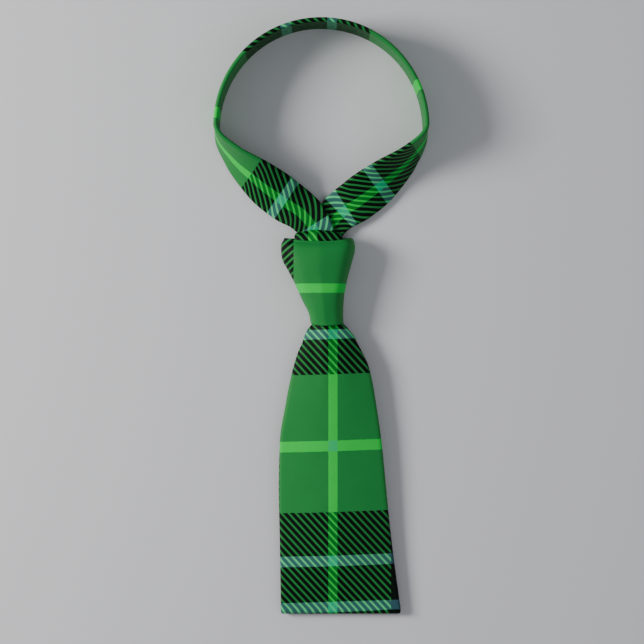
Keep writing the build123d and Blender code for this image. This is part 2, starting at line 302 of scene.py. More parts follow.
def makeTartanGroup():
    # u runs across the tie from the middle of its bright line, v down the tie from the top of a green band
    tree, start, end = newGroup(
        "tartanBands",
        [("Cloth", "NodeSocketVector")],
        [("Color", "NodeSocketColor"), ("Hatch", "NodeSocketFloat"), ("Gloss", "NodeSocketFloat")],
    )
    maths = functools.partial(mathNode, tree)
    wander = noiseAt(tree, start.outputs[0], 900, 2)
    split = addNode(tree, "ShaderNodeSeparateXYZ")
    tree.links.new(start.outputs[0], split.inputs[0])
    fromMean = maths("SUBTRACT", wander, 0.5)
    shake = maths("MULTIPLY", fromMean, tartan["threadShake"] * mm)
    u = maths("ADD", split.outputs[0], shake)
    v = maths("ADD", split.outputs[1], shake)
    lineWidth = tartan["across"][0][1] * mm
    acrossPlace = repeatedPlace(tree, u, tartan["across"], lineWidth / 2)
    downPlace = repeatedPlace(tree, v, tartan["down"], 0.0)

    def rankOf(name):
        return (bandRank[name],) * 3

    warp = bandRamp(tree, acrossPlace, tartan["across"], lambda name: tartan[name])
    weft = bandRamp(tree, downPlace, tartan["down"], lambda name: tartan[name])
    warpRank = bandRamp(tree, acrossPlace, tartan["across"], rankOf)
    weftRank = bandRamp(tree, downPlace, tartan["down"], rankOf)
    weftWins = maths("GREATER_THAN", maths("ADD", weftRank, 0.05), warpRank)
    base = mixColour(tree, weftWins, warp, weft)
    other = mixColour(tree, weftWins, weft, warp)
    topRank = maths("MAXIMUM", weftRank, warpRank)
    isBlack = maths("COMPARE", topRank, bandRank["black"], 0.1)
    isSlate = maths("COMPARE", topRank, bandRank["slate"], 0.1)
    blackShows = maths("MULTIPLY", isBlack, tartan["blackShows"])
    slateShows = maths("MULTIPLY", isSlate, tartan["slateShows"])
    showThrough = maths("ADD", blackShows, slateShows)
    angle = math.radians(tartan["hatchAngle"])
    pitch = tartan["hatchPitch"] * mm
    along = maths("MULTIPLY", split.outputs[0], math.sin(angle) / pitch)
    down = maths("MULTIPLY", split.outputs[1], math.cos(angle) / pitch)
    phase = maths("FRACT", maths("SUBTRACT", along, down))
    fromMiddle = maths("ABSOLUTE", maths("SUBTRACT", phase, 0.5))
    hatch = addNode(tree, "ShaderNodeMapRange", interpolation_type="SMOOTHSTEP")
    hatch.inputs["From Min"].default_value = tartan["hatchShare"] / 2 + tartan["hatchBlur"]
    hatch.inputs["From Max"].default_value = tartan["hatchShare"] / 2 - tartan["hatchBlur"]
    tree.links.new(fromMiddle, hatch.inputs["Value"])
    added = maths("MULTIPLY", showThrough, hatch.outputs[0])
    lit = addNode(tree, "ShaderNodeVectorMath", operation="SCALE")
    tree.links.new(other, lit.inputs[0])
    tree.links.new(added, lit.inputs["Scale"])
    tinted = mixColour(tree, maths("MULTIPLY", isSlate, tartan["slateTint"]), base, other)
    total = addNode(tree, "ShaderNodeVectorMath", operation="ADD")
    tree.links.new(tinted, total.inputs[0])
    tree.links.new(lit.outputs[0], total.inputs[1])
    # the bright line glows through whatever crosses it
    lowRank = maths("MINIMUM", weftRank, warpRank)
    hasLine = maths("COMPARE", lowRank, bandRank["line"], 0.1)
    isLine = maths("COMPARE", topRank, bandRank["line"], 0.1)
    onBlack = maths("MULTIPLY", maths("MULTIPLY", isBlack, tartan["glowBlack"]), hasLine)
    overBlack = mixColour(tree, onBlack, total.outputs[0], tartan["line"])
    onSlate = maths("MULTIPLY", isSlate, tartan["glowSlate"])
    onLine = maths("MULTIPLY", isLine, tartan["glowLine"])
    glow = maths("MULTIPLY", maths("ADD", onSlate, onLine), hasLine)
    glowing = mixColour(tree, glow, overBlack, tartan["overlay"])
    tree.links.new(glowing, end.inputs["Color"])
    anyHatch = maths("MULTIPLY", maths("MINIMUM", showThrough, 1.0), hatch.outputs[0])
    tree.links.new(anyHatch, end.inputs["Hatch"])
    tree.links.new(maths("SUBTRACT", 1.0, isBlack), end.inputs["Gloss"])
    return tree


def makeWeaveGroup():
    # fine twill ribs with thread-to-thread changes
    tree, start, end = newGroup(
        "twillWeave",
        [("Cloth", "NodeSocketVector"), ("Rib", "NodeSocketFloat")],
        [("Height", "NodeSocketFloat"), ("Shade", "NodeSocketFloat")],
    )
    maths = functools.partial(mathNode, tree)
    split = addNode(tree, "ShaderNodeSeparateXYZ")
    tree.links.new(start.outputs[0], split.inputs[0])
    diagonal = maths("SUBTRACT", split.outputs[0], split.outputs[1])
    turns = maths("MULTIPLY", maths("DIVIDE", diagonal, start.outputs[1]), 2 * math.pi)
    ribs = maths("MULTIPLY_ADD", maths("SINE", turns), 0.5, 0.5)
    threads = noiseAt(tree, start.outputs[0], 2600, 3)
    ribHeight = maths("MULTIPLY", ribs, 0.55)
    height = maths("MULTIPLY_ADD", threads, 0.45, ribHeight)
    tree.links.new(height, end.inputs["Height"])
    patches = noiseAt(tree, start.outputs[0], 60, 4)
    cloudy = maths("MULTIPLY", patches, 0.18)
    shade = maths("MULTIPLY_ADD", threads, 0.34, cloudy)
    tree.links.new(maths("ADD", shade, 0.74), end.inputs["Shade"])
    return tree


tartanGroup = makeTartanGroup()
weaveGroup = makeWeaveGroup()


def plainMaterial(name, roughness, specular):
    material = bpy.data.materials.new(name)
    material.use_nodes = True
    shader = next(node for node in material.node_tree.nodes if node.type == "BSDF_PRINCIPLED")
    shader.inputs["Roughness"].default_value = roughness
    shader.inputs["Specular IOR Level"].default_value = specular
    return material, shader


def startMaterial(name, roughness, sheen, specular):
    material, shader = plainMaterial(name, roughness, specular)
    shader.inputs["Sheen Weight"].default_value = sheen
    shader.inputs["Sheen Roughness"].default_value = 0.35
    uvs = addNode(material.node_tree, "ShaderNodeUVMap", uv_map="cloth")
    return material, material.node_tree, shader, uvs.outputs[0]


def addWeave(tree, shader, cloth, rib, depth, colour, extraHeight=None):
    weave = addNode(tree, "ShaderNodeGroup", node_tree=weaveGroup)
    weave.inputs["Rib"].default_value = rib
    tree.links.new(cloth, weave.inputs["Cloth"])
    shaded = addNode(tree, "ShaderNodeVectorMath", operation="SCALE")
    if isinstance(colour, tuple):
        shaded.inputs[0].default_value = colour
    else:
        tree.links.new(colour, shaded.inputs[0])
    tree.links.new(weave.outputs["Shade"], shaded.inputs["Scale"])
    tree.links.new(shaded.outputs[0], shader.inputs["Base Color"])
    height = weave.outputs["Height"]
    if extraHeight is not None:
        height = mathNode(tree, "MULTIPLY_ADD", extraHeight, 0.9, height)
    bump = addNode(tree, "ShaderNodeBump")
    bump.inputs["Strength"].default_value = 0.55
    bump.inputs["Distance"].default_value = depth
    tree.links.new(height, bump.inputs["Height"])
    tree.links.new(bump.outputs[0], shader.inputs["Normal"])


def makeTartanSilk():
    material, tree, shader, cloth = startMaterial("tartan silk", 0.5, 0.0, 0.09)
    bands = addNode(tree, "ShaderNodeGroup", node_tree=tartanGroup)
    tree.links.new(cloth, bands.inputs[0])
    addWeave(tree, shader, cloth, 0.62 * mm, 0.10 * mm, bands.outputs["Color"], bands.outputs["Hatch"])
    rough = mathNode(tree, "MULTIPLY_ADD", bands.outputs["Gloss"], -0.08, 0.56)
    tree.links.new(rough, shader.inputs["Roughness"])
    return material


def makePlainCloth(name, colour, rib, depth, roughness, sheen, specular=0.4):
    material, tree, shader, cloth = startMaterial(name, roughness, sheen, specular)
    addWeave(tree, shader, cloth, rib, depth, colour)
    return material


tartanSilk = makeTartanSilk()
woolFelt = makePlainCloth("brushed interlining", (0.68, 0.64, 0.54), 1.1 * mm, 0.25 * mm, 0.9, 0.3, 0.2)
satin = makePlainCloth("tip lining satin", (0.004, 0.020, 0.009), 0.35 * mm, 0.04 * mm, 0.3, 0.1, 0.5)
labelCloth = makePlainCloth("woven label", (0.012, 0.016, 0.014), 0.5 * mm, 0.06 * mm, 0.45, 0.15)
careCloth = makePlainCloth("white satin label", (0.72, 0.71, 0.67), 0.4 * mm, 0.04 * mm, 0.35, 0.1)
threadCloth = makePlainCloth("sewing thread", (0.02, 0.15, 0.04), 0.25 * mm, 0.06 * mm, 0.5, 0.2)


# front blade

print("front blade")

bladeLow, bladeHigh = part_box("front_blade_shell")
tipLow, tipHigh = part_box("front_tip_shell")
foldLow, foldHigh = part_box("front_hem_fold")
hemY = bladeLow[1]
mouthY = bladeHigh[1]
hemAxisZ = (foldLow[2] + foldHigh[2]) / 2
layerThick = tipHigh[2] - tipLow[2]
tipLength = tipHigh[1] - hemY

blade = {
    # distance down from the lip, then the left and right edges, in millimetres
    "left": [(-9, -7.6), (-2.5, -8.6), (0.6, -11.4), (4.5, -14.4), (8.5, -16.0), (13, -17.4),
             (17, -19.4), (25.5, -22.2), (32, -24.0), (54, -28.4), (79, -32.3), (111, -33.0),
             (144, -32.4), (195.3, -31.6)],
    "right": [(-9, 7.6), (-2.5, 8.6), (0.6, 12.2), (4.5, 15.6), (8.5, 18.6), (13, 20.6), (17, 22.8),
              (25.5, 26.9), (32, 29.0), (54, 33.0), (79, 36.6), (111, 39.8), (144, 43.2), (195.3, 50.0)],
    "ridge": [(-9, -0.5), (20, 0.3), (80, 1.8), (195.3, 3.2)],
    "crown": [(-9, 3.0), (4, 4.0), (18, 5.0), (45, 4.9), (110, 4.7), (160, 3.7), (182, 1.2), (191, 0.0)],
    "edgeThick": [(-9, 3.6), (10, 3.6), (40, 3.0)],
    "tipTaper": 0.22,
    "tipStraight": 12.0,
    "turnIn": 14.0,
    "seamGap": 0.25,
    "openAbove": 20.0,  # how far above the hem the back seam starts to open
    "splitAt": 26.0,  # where the upper piece of cloth ends and the lower begins
    "feltIn": 1.7,
    "lipBottom": 10.0,
    "hemOpening": 0.8,
    "wall": 0.42,
}
bladeRun = (mouthY - hemY) / mm
turnRun = math.pi * (blade["hemOpening"] / 2 + layerThick / mm / 2)
hemBottom = foldHigh[2] / mm - layerThick / mm


def bladeEdges(run):
    # left and right edges for a distance down from the lip, over the hem and back along the tip
    beyond = run - bladeRun - turnRun
    if beyond <= 0:
        down = min(run, bladeRun)
        return smoothThrough(blade["left"], down), smoothThrough(blade["right"], down)
    left = blade["left"][-1][1]
    right = blade["right"][-1][1] - blade["tipTaper"] * beyond
    if beyond <= blade["tipStraight"]:
        return left, right
    point = tipLength / mm
    share = (point - beyond) / (point - blade["tipStraight"])
    middle = (left + blade["right"][-1][1] - blade["tipTaper"] * blade["tipStraight"]) / 2
    half = (blade["right"][-1][1] - blade["tipTaper"] * blade["tipStraight"] - left) / 2 * max(share, 0.008)
    return middle - half, middle + half


def bladeHalfWidth(run):
    left, right = bladeEdges(run)
    return (right - left) / 2 * mm


def bladeHalfThick(run):
    half = smoothThrough(blade["edgeThick"], run) / 2
    return min(half * mm, bladeHalfWidth(run) * 0.9)


def bladeFlap(run):
    half = bladeHalfWidth(run) / mm
    closed = half - blade["seamGap"]
    opening = run - (bladeRun - blade["openAbove"])
    if opening <= 0:
        return closed * mm
    reach = blade["openAbove"] + turnRun + blade["tipStraight"]
    inner = min(opening / reach, 1.0) * (smoothThrough(blade["right"], 195) - 9 - blade["turnIn"])
    return min(max(half - inner, min(blade["turnIn"], closed)), closed) * mm


def bladeCrown(run, x):
    # the soft ridge down the middle, higher where the blade bunches under the knot
    left, right = bladeEdges(run)
    ridge = smoothThrough(blade["ridge"], run)
    toSide = (x - ridge) / (right - ridge) if x > ridge else (ridge - x) / (ridge - left)
    height = smoothThrough(blade["crown"], run)
    drop = min(abs(toSide), 1.0) ** 1.55
    folds = 0.34 * math.cos(x * 0.42 + 0.6) * (1 - ease(6, 52, run)) * (1 - toSide * toSide)
    waves = 0.22 * math.sin(run * 0.043 + 1.1) * math.sin(x * 0.075 + run * 0.012)
    waves *= ease(20, 60, run) * (1 - ease(150, bladeRun, run))
    return height * (1 - drop) + folds + waves


def bladePoint(run, across, out):
    left, right = bladeEdges(run)
    x = (left + right) / 2 + across / mm
    half = layerThick / mm / 2
    if run <= bladeRun:
        slope = (blade["lipBottom"] - hemBottom) / bladeRun
        y = mouthY / mm - run
        z = hemBottom + half + (bladeRun - run) * slope
        normal = (0.0, 1.0)
    elif run <= bladeRun + turnRun:
        angle = (run - bladeRun) / turnRun * math.pi
        radius = hemBottom + half - hemAxisZ / mm
        normal = (-math.sin(angle), math.cos(angle))
        y = hemY / mm + radius * normal[0]
        z = hemAxisZ / mm + radius * normal[1]
    else:
        y = hemY / mm + (run - bladeRun - turnRun)
        z = half
        normal = (0.0, -1.0)
    lift = bladeCrown(run, x)
    return Vector((x, y + normal[0] * out / mm, z + normal[1] * out / mm + lift)) * mm


bladePattern = {"line": 3.54, "start": 59.7, "tilt": 0.031}


def bladeCloth(run, across, over):
    left, right = bladeEdges(run)
    x = (left + right) / 2 + over / mm
    v = run + bladePattern["tilt"] * (x - 1.7) - (bladePattern["start"] + mouthY / mm)
    return ((x - bladePattern["line"]) * mm, v * mm)


bladeStrip = makeStrip(bladePoint, bladeCloth, bladeHalfWidth, bladeHalfThick, bladeFlap)
endRun = bladeRun + turnRun + tipLength / mm

upperRows = spread(-8, blade["splitAt"], 45)
bladeUpper = foldedCloth("front_blade_upper", bladeStrip, upperRows, tartanSilk, blade["wall"] * mm)
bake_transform(bladeUpper)
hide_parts("knot_blade_gather")

hemRows = spread(bladeRun, bladeRun + turnRun, 13)
lowerRows = spread(blade["splitAt"], bladeRun, 100)[:-1] + hemRows[:-1]
lowerRows += spread(bladeRun + turnRun, endRun - 0.4, 40)
bladeLower = foldedCloth("front_blade_lower", bladeStrip, lowerRows, tartanSilk, blade["wall"] * mm)
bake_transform(bladeLower)
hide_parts("front_blade_shell", "front_hem_fold", "front_tip_shell")

liningWall = 0.22
liningOver = 3.0
liningIn = 1.6
feltThick = 1.2
feltRows = spread(15, bladeRun, 56)[:-1] + hemRows[:-1] + spread(bladeRun + turnRun, endRun - 3.5, 24)


def bladeFeltHalf(run):
    return bladeHalfWidth(run) - blade["feltIn"] * mm


bladeFelt = clothSlab("front_blade_felt", bladeStrip, feltRows, woolFelt, bladeFeltHalf, 0.0, feltThick * mm)
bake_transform(bladeFelt)
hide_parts("front_blade_interlining", "front_tip_interlining")


def tipLiningHalf(run):
    inner = bladeHalfWidth(run) - bladeFlap(run)
    return min(inner + liningOver * mm, bladeHalfWidth(run) - liningIn * mm)


liningOut = -(layerThick / 2 - (blade["wall"] + liningWall / 2 + 0.03) * mm)
liningRows = spread(bladeRun - blade["openAbove"] - 6, bladeRun, 12)[:-1] + hemRows[:-1]
liningRows += spread(bladeRun + turnRun, endRun - 4.0, 22)
tipLining = clothSlab("front_tip_satin", bladeStrip, liningRows, satin, tipLiningHalf, liningOut,
                      liningWall * mm)
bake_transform(tipLining)
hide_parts("front_tip_lining")


# trim on the back of the blade

print("trim")

trim = {
    "lift": 0.12,
    "keeperRise": 1.0,
    "keeperWall": 0.4,
    "labelWall": 0.25,
    "stitchPitch": 13.0,
    "stitchLength": 2.6,
    "stitchWide": 0.55,
}


def bladeBack(run, x, out=0.0):
    # a point on the back of the blade, out millimetres clear of the cloth
    left, right = bladeEdges(run)
    return bladePoint(run, (x - (left + right) / 2) * mm, -(layerThick / 2 + (trim["lift"] + out) * mm))


def seamX(run):
    left, right = bladeEdges(run)
    return (left + right) / 2


def patchOnBack(name, low, high, outAt, material, wall, turned=False):
    # a flat piece sewn to the back: low and high are (x from the seam, run down the blade)
    def place(column, row):
        return bladeBack(row, seamX(row) + column, outAt(column, row))

    def cloth(column, row):
        return (row * mm, column * mm) if turned else (column * mm, row * mm)

    columns = spread(low[0], high[0], 49)
    rows = spread(low[1], high[1], 15)
    return makeObject(name, gridOver(columns, rows, place, cloth), material, wall * mm, 1.0)


def runOf(node):
    # where a CAD node lies along the blade, and its half width
    low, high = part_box(node)
    return (mouthY - high[1]) / mm, (mouthY - low[1]) / mm, (high[0] - low[0]) / 2 / mm


keeperTop, keeperEnd, keeperHalf = runOf("keeper_loop")


def keeperBow(column, row):
    return trim["keeperRise"] * (1 - abs(column / keeperHalf) ** 6) + 0.05


keeper = patchOnBack("keeper_loop_cloth", (-keeperHalf, keeperTop), (keeperHalf, keeperEnd), keeperBow,
                     tartanSilk, trim["keeperWall"], turned=True)
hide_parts("keeper_loop")

labelTop, labelEnd, labelHalf = runOf("maker_label")


def labelBow(column, row):
    return 0.12 * (1 - (column / labelHalf) ** 2)


label = patchOnBack("blank_label", (-labelHalf, labelTop), (labelHalf, labelEnd), labelBow,
                    labelCloth, trim["labelWall"])
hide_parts("maker_label")

careTop, careEnd, careHalf = runOf("care_label")
careLabel = patchOnBack("blank_care_label", (-careHalf, careTop), (careHalf, careEnd),
                        lambda column, row: 0.05, careCloth, trim["labelWall"])
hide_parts("care_label")


def addStitch(bm, middle, along, length, wide, high):
    # one stitch of thread: a slim rounded bead lying along a direction
    before = set(bm.verts)
    bmesh.ops.create_uvsphere(bm, u_segments=12, v_segments=8, radius=0.5)
    direction = along.normalized()
    up = Vector((0, 0, 1))
    side = direction.cross(up).normalized()
    for vert in bm.verts:
        if vert not in before:
            local = vert.co.copy()
            vert.co = middle + direction * local.z * length + side * local.x * wide + up * local.y * high


def stitchObject(name, stitches, material):
    bm = bmesh.new()
    for middle, along, length, wide, high in stitches:
        addStitch(bm, middle, along, length, wide, high)
    uvs = bm.loops.layers.uv.new("cloth")
    for face in bm.faces:
        for loop in face.loops:
            loop[uvs].uv = (loop.vert.co.x, loop.vert.co.y)
    return makeObject(name, bm, material)


acrossBlade = Vector((1, 0, 0))
downBlade = Vector((0, -1, 0))
stitchHigh = 0.34

labelStitchList = []
for side in (-1, 1):
    for end in (labelTop + 1.2, labelEnd - 1.2):
        for step in (-0.55, 0, 0.55):
            middle = bladeBack(end + step, seamX(end) + side * (labelHalf - 2.2), 0.42)
            size = (trim["stitchLength"] * mm, 0.5 * mm, stitchHigh * mm)
            labelStitchList.append((middle, acrossBlade, *size))
labelStitches = stitchObject("label_corner_stitches", labelStitchList, threadCloth)
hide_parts("label_stitches")

slipTop, slipEnd = runOf("front_slip_stitches")[:2]
slipCount = round((slipEnd - slipTop) / trim["stitchPitch"]) + 1
slipStitchList = []
for number in range(slipCount):
    run = slipTop + 0.4 + number * trim["stitchPitch"]
    slipStitchList.append((bladeBack(run, seamX(run), 0.05), acrossBlade + downBlade * 0.35,
                           trim["stitchLength"] * mm, trim["stitchWide"] * mm, stitchHigh * mm))
slipStitches = stitchObject("back_slip_stitches", slipStitchList, threadCloth)
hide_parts("front_slip_stitches")

tackTop, tackEnd, tackHalf = runOf("front_bar_tack")
tackRun = (tackTop + tackEnd) / 2
tackList = []
for number in range(15):
    x = seamX(tackRun) + tackHalf * (number / 7 - 1) * 0.94
    size = ((tackEnd - tackTop) * mm, 0.42 * mm, stitchHigh * mm)
    tackList.append((bladeBack(tackRun, x, 0.12), downBlade, *size))
for offset in (-0.35, 0.35):
    tackList.append((bladeBack(tackRun + offset, seamX(tackRun), 0.02), acrossBlade,
                     2 * tackHalf * mm, 0.4 * mm, stitchHigh * mm))
barTack = stitchObject("bar_tack_thread", tackList, threadCloth)
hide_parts("front_bar_tack")

for piece in (keeper, label, careLabel, labelStitches, slipStitches, barTack):
    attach(piece, "front_blade")


# tail

print("tail")

tailLow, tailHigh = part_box("tail_shell")
tailFoldLow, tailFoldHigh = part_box("tail_hem_fold")
tailEndLow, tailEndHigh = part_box("tail_end_shell")
tailHemY = tailLow[1]
tailTopY = tailHigh[1]
tailThick = (tailEndHigh[2] - tailEndLow[2]) / mm
tailAxisZ = (tailFoldLow[2] + tailFoldHigh[2]) / 2 / mm
tailBottomZ = tailLow[2] / mm
tailHemMiddle = (tailFoldLow[0] + tailFoldHigh[0]) / 2 / mm
tailRun = (tailTopY - tailHemY) / mm
tailRadius = tailBottomZ + tailThick / 2 - tailAxisZ
tailTurn = math.pi * tailRadius
tailEndRun = (tailEndHigh[1] - tailHemY) / mm

tail = {
    # distance down from the tail's top, then its centre, half width and thickness in millimetres
    "middle": [(0, 0.0), (40, 0.0), (56, 0.8), (74, 1.6), (tailRun, tailHemMiddle)],
    "half": [(0, 7.6), (36, 7.7), (48, 9.6), (58, 13.4), (74, 16.2), (tailRun, 17.9)],
    "thick": [(0, 4.4), (40, 4.4), (56, 3.2), (74, 2.4), (tailRun, 2.4)],
    "turnIn": 9.0,
    "seamGap": 0.25,
    "openAbove": 14.0,
    "wall": 0.36,
    "feltIn": 1.5,
    "feltThick": 0.9,
    "liningOver": 2.4,
    "liningIn": 1.4,
    "liningWall": 0.2,
}
tailHalfFull = tail["half"][-1][1]
tailStraight = tailEndRun - tailHalfFull


def tailHalfWidth(run):
    beyond = run - tailRun - tailTurn
    if beyond <= tailStraight:
        return smoothThrough(tail["half"], run) * mm
    return max(tailEndRun - beyond, 0.5) * mm


def tailHalfThick(run):
    return min(smoothThrough(tail["thick"], run) / 2 * mm, tailHalfWidth(run) * 0.9)


def tailFlap(run):
    half = tailHalfWidth(run) / mm
    closed = half - tail["seamGap"]
    opening = run - (tailRun + tailTurn + tailEndRun - tailHalfFull - tail["openAbove"])
    if opening <= 0:
        return closed * mm
    inner = min(opening / tail["openAbove"], 1.0) * (tailHalfFull - tail["turnIn"])
    return min(max(half - inner, min(tail["turnIn"], closed)), closed) * mm


def tailPoint(run, across, out):
    if run <= tailRun:
        y = tailTopY / mm - run
        z = tailBottomZ + smoothThrough(tail["thick"], run) / 2
        normal = (0.0, 1.0)
        middle = smoothThrough(tail["middle"], run)
        slack = 0.10 * math.sin(run * 0.12 + across / mm * 0.09)
        z += slack * ease(60, 90, run) * (1 - ease(tailRun - 25, tailRun, run))
    elif run <= tailRun + tailTurn:
        angle = (run - tailRun) / tailTurn * math.pi
        normal = (-math.sin(angle), math.cos(angle))
        y = tailHemY / mm + tailRadius * normal[0]
        z = tailAxisZ + tailRadius * normal[1]
        middle = tailHemMiddle
    else:
        y = tailHemY / mm + (run - tailRun - tailTurn)
        z = tailThick / 2
        normal = (0.0, -1.0)
        middle = tailHemMiddle
    return Vector((middle + across / mm, y + normal[0] * out / mm, z + normal[1] * out / mm)) * mm


def tailCloth(run, across, over):
    return (over - 1.2 * mm, (run + 23.0) * mm)


tailStrip = makeStrip(tailPoint, tailCloth, tailHalfWidth, tailHalfThick, tailFlap)
tailLast = tailRun + tailTurn + tailEndRun
tailRows = spread(0.5, tailRun, 60)[:-1] + spread(tailRun, tailRun + tailTurn, 11)[:-1]
tailRows += spread(tailRun + tailTurn, tailLast - 0.4, 52)
tailPiece = foldedCloth("tail_cloth", tailStrip, tailRows, tartanSilk, tail["wall"] * mm)
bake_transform(tailPiece)
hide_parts("tail_shell", "tail_hem_fold", "tail_end_shell")

tailFeltRows = spread(1.5, tailRun, 50)[:-1] + spread(tailRun, tailRun + tailTurn, 11)[:-1]
tailFeltRows += spread(tailRun + tailTurn, tailLast - 3.0, 30)


def tailFeltHalf(run):
    return tailHalfWidth(run) - tail["feltIn"] * mm


tailFelt = clothSlab("tail_felt", tailStrip, tailFeltRows, woolFelt, tailFeltHalf, 0.1 * mm,
                     tail["feltThick"] * mm)
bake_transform(tailFelt)
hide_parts("tail_interlining", "tail_end_interlining")


def tailLiningHalf(run):
    inner = tailHalfWidth(run) - tailFlap(run)
    return min(inner + tail["liningOver"] * mm, tailHalfWidth(run) - tail["liningIn"] * mm)


tailLiningOut = -(tailThick / 2 - tail["wall"] - 0.14) * mm
tailLiningRows = spread(tailLast - 34, tailLast - 3.4, 24)
tailLining = clothSlab("tail_tip_satin", tailStrip, tailLiningRows, satin, tailLiningHalf,
                       tailLiningOut, tail["liningWall"] * mm)
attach(tailLining, "tail_end")
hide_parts("tail_end_lining")


# neck loop

print("neck loop")

backLow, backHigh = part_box("neck_back_shell")
rootLow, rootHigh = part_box("left_leg_root")
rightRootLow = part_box("right_leg_root")[0]
neckThick = (rootHigh[2] - rootLow[2]) / mm
loopX = (backLow[0] + backHigh[0]) / 2 / mm
loopY = backLow[1] / mm
loopR = (backHigh[0] - backLow[0]) / 2 / mm - neckThick / 2
neckTall = (backHigh[2] - backLow[2]) / mm
rootTop = rootHigh[1] / mm
rootOut = (rightRootLow[0] - rootLow[0]) / mm / 2
rootWide = (rootHigh[0] - rootLow[0]) / mm

neck = {
    # out from the middle line and up the tie, the way the cloth runs there, its width, its lean in degrees
    # and its share of the root's height above the ground
    "path": [
        ((rootOut, rootLow[1] / mm + 0.5), (0.0, 1.0), rootWide, 0, 1.0),
        ((rootOut, rootTop * 0.8), (0.04, 1.0), rootWide, 0, 1.0),
        ((12.0, 49.5), (0.72, 0.69), 26.0, 0, 1.0),
        ((25.0, 58.5), (0.79, 0.61), 30.0, 18, 0.7),
        ((41.0, 70.5), (0.76, 0.65), 34.0, 42, 0.35),
        ((58.5, 86.0), (0.66, 0.75), 35.5, 68, 0.1),
        ((loopR, loopY), (0.0, 1.0), neckTall, 90, 0.0),
    ],
    "smoothing": 260,
    "seamGap": 0.22,
    "wall": 0.36,
    "rows": 240,
    "feltIn": 1.5,
    "feltThick": 1.1,
}


def legTable(rootBottom):
    # finely spaced middle points of one leg, from its root in the knot to the side of the loop
    stations = neck["path"]
    places = [0.0]
    for before, after in zip(stations, stations[1:]):
        places.append(places[-1] + (Vector(after[0]) - Vector(before[0])).length)
    columns = [[(place, station[k]) for place, station in zip(places, stations)] for k in (2, 3, 4)]
    table = []
    for at in spread(0, places[-1], neck["smoothing"]):
        index = min(bisect.bisect_right(places, at) - 1, len(stations) - 2)
        span = places[index + 1] - places[index]
        t = (at - places[index]) / span
        before, after = stations[index], stations[index + 1]
        spot = Vector(before[0]) * ((1 + 2 * t) * (1 - t) ** 2) + Vector(after[0]) * (t * t * (3 - 2 * t))
        spot += Vector(before[1]) * (span * t * (1 - t) ** 2) + Vector(after[1]) * (span * t * t * (t - 1))
        width, lean, share = (smoothThrough(column, at) for column in columns)
        tilt = math.radians(lean)
        middle = share * rootBottom + width / 2 * math.sin(tilt) + neckThick / 2 * math.cos(tilt)
        table.append((spot.x, spot.y, middle, width, tilt))
    return table


def legRow(leg, index, side, way):
    # side is -1 for the left leg; way is 1 where the loop runs up the leg and -1 where it runs down
    out, up, middle, width, tilt = leg[index]
    near = leg[min(max(index + way, 0), len(leg) - 1)]
    far = leg[min(max(index - way, 0), len(leg) - 1)]
    step = Vector((side * (near[0] - far[0]), near[1] - far[1], 0)).normalized()
    across = Vector((step.y * math.cos(tilt), -step.x * math.cos(tilt), math.sin(tilt)))
    return Vector((loopX + side * out, up, middle)), across, across.cross(step), width


def neckTable():
    # (point, across, normal, width) all along the loop, from the left root round to the right root
    left = legTable(rootLow[2] / mm)
    right = legTable(rightRootLow[2] / mm)
    rows = []
    for index in range(len(left)):
        rows.append(legRow(left, index, -1, 1))
    arcCount = 120
    for index in range(1, arcCount):
        angle = math.pi * (1 - index / arcCount)
        normal = Vector((math.cos(angle), math.sin(angle), 0))
        point = Vector((loopX + loopR * normal.x, loopY + loopR * normal.y, neckTall / 2))
        rows.append((point, Vector((0, 0, 1)), normal, neckTall))
    for index in reversed(range(len(right))):
        rows.append(legRow(right, index, 1, -1))
    return rows


neckRows = neckTable()
neckPlaces = [0.0]
for before, after in zip(neckRows, neckRows[1:]):
    neckPlaces.append(neckPlaces[-1] + (after[0] - before[0]).length)
neckLength = neckPlaces[-1]


def neckAt(run):
    index = min(max(bisect.bisect_right(neckPlaces, run) - 1, 0), len(neckRows) - 2)
    share = (run - neckPlaces[index]) / max(neckPlaces[index + 1] - neckPlaces[index], 1e-9)
    share = min(max(share, 0.0), 1.0)
    before, after = neckRows[index], neckRows[index + 1]
    point = before[0].lerp(after[0], share)
    across = before[1].lerp(after[1], share).normalized()
    normal = before[2].lerp(after[2], share).normalized()
    return point, across, normal, before[3] + (after[3] - before[3]) * share


def neckPoint(run, across, out):
    point, side, normal, width = neckAt(run)
    slack = 0.16 * math.sin(run * 0.055) * math.sin(run * 0.021 + across / mm * 0.06) * ease(50, 110, run)
    slack *= 1 - ease(neckLength - 110, neckLength - 50, run)
    return (point + side * (across / mm) + normal * (out / mm + slack)) * mm


def neckHalfWidth(run):
    return (neckAt(run)[3] / 2 - 0.05) * mm


def neckHalfThick(run):
    return (neckThick / 2 - 0.03) * mm


def neckFlap(run):
    return neckHalfWidth(run) - neck["seamGap"] * mm


def neckCloth(run, across, over):
    return (over + 1.5 * mm, (run + 88.0) * mm)


neckStrip = makeStrip(neckPoint, neckCloth, neckHalfWidth, neckHalfThick, neckFlap)
bandRows = spread(0, neckLength, neck["rows"])
neckPiece = foldedCloth("neck_band", neckStrip, bandRows, tartanSilk, neck["wall"] * mm)
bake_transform(neckPiece)
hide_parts("left_leg_root", "right_leg_root", "left_leg_shell", "right_leg_shell",
            "neck_back_shell")


def neckFeltHalf(run):
    return neckHalfWidth(run) - neck["feltIn"] * mm


neckFeltRows = spread(3, neckLength - 3, 200)
neckFelt = clothSlab("neck_band_felt", neckStrip, neckFeltRows, woolFelt, neckFeltHalf, 0.0,
                     neck["feltThick"] * mm)
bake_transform(neckFelt)
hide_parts("left_leg_interlining", "right_leg_interlining", "neck_back_interlining")


# knot

print("knot")

wrapLow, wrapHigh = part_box("knot_front_wrap")
knotTopY = wrapHigh[1] / mm
knotLipY = wrapLow[1] / mm

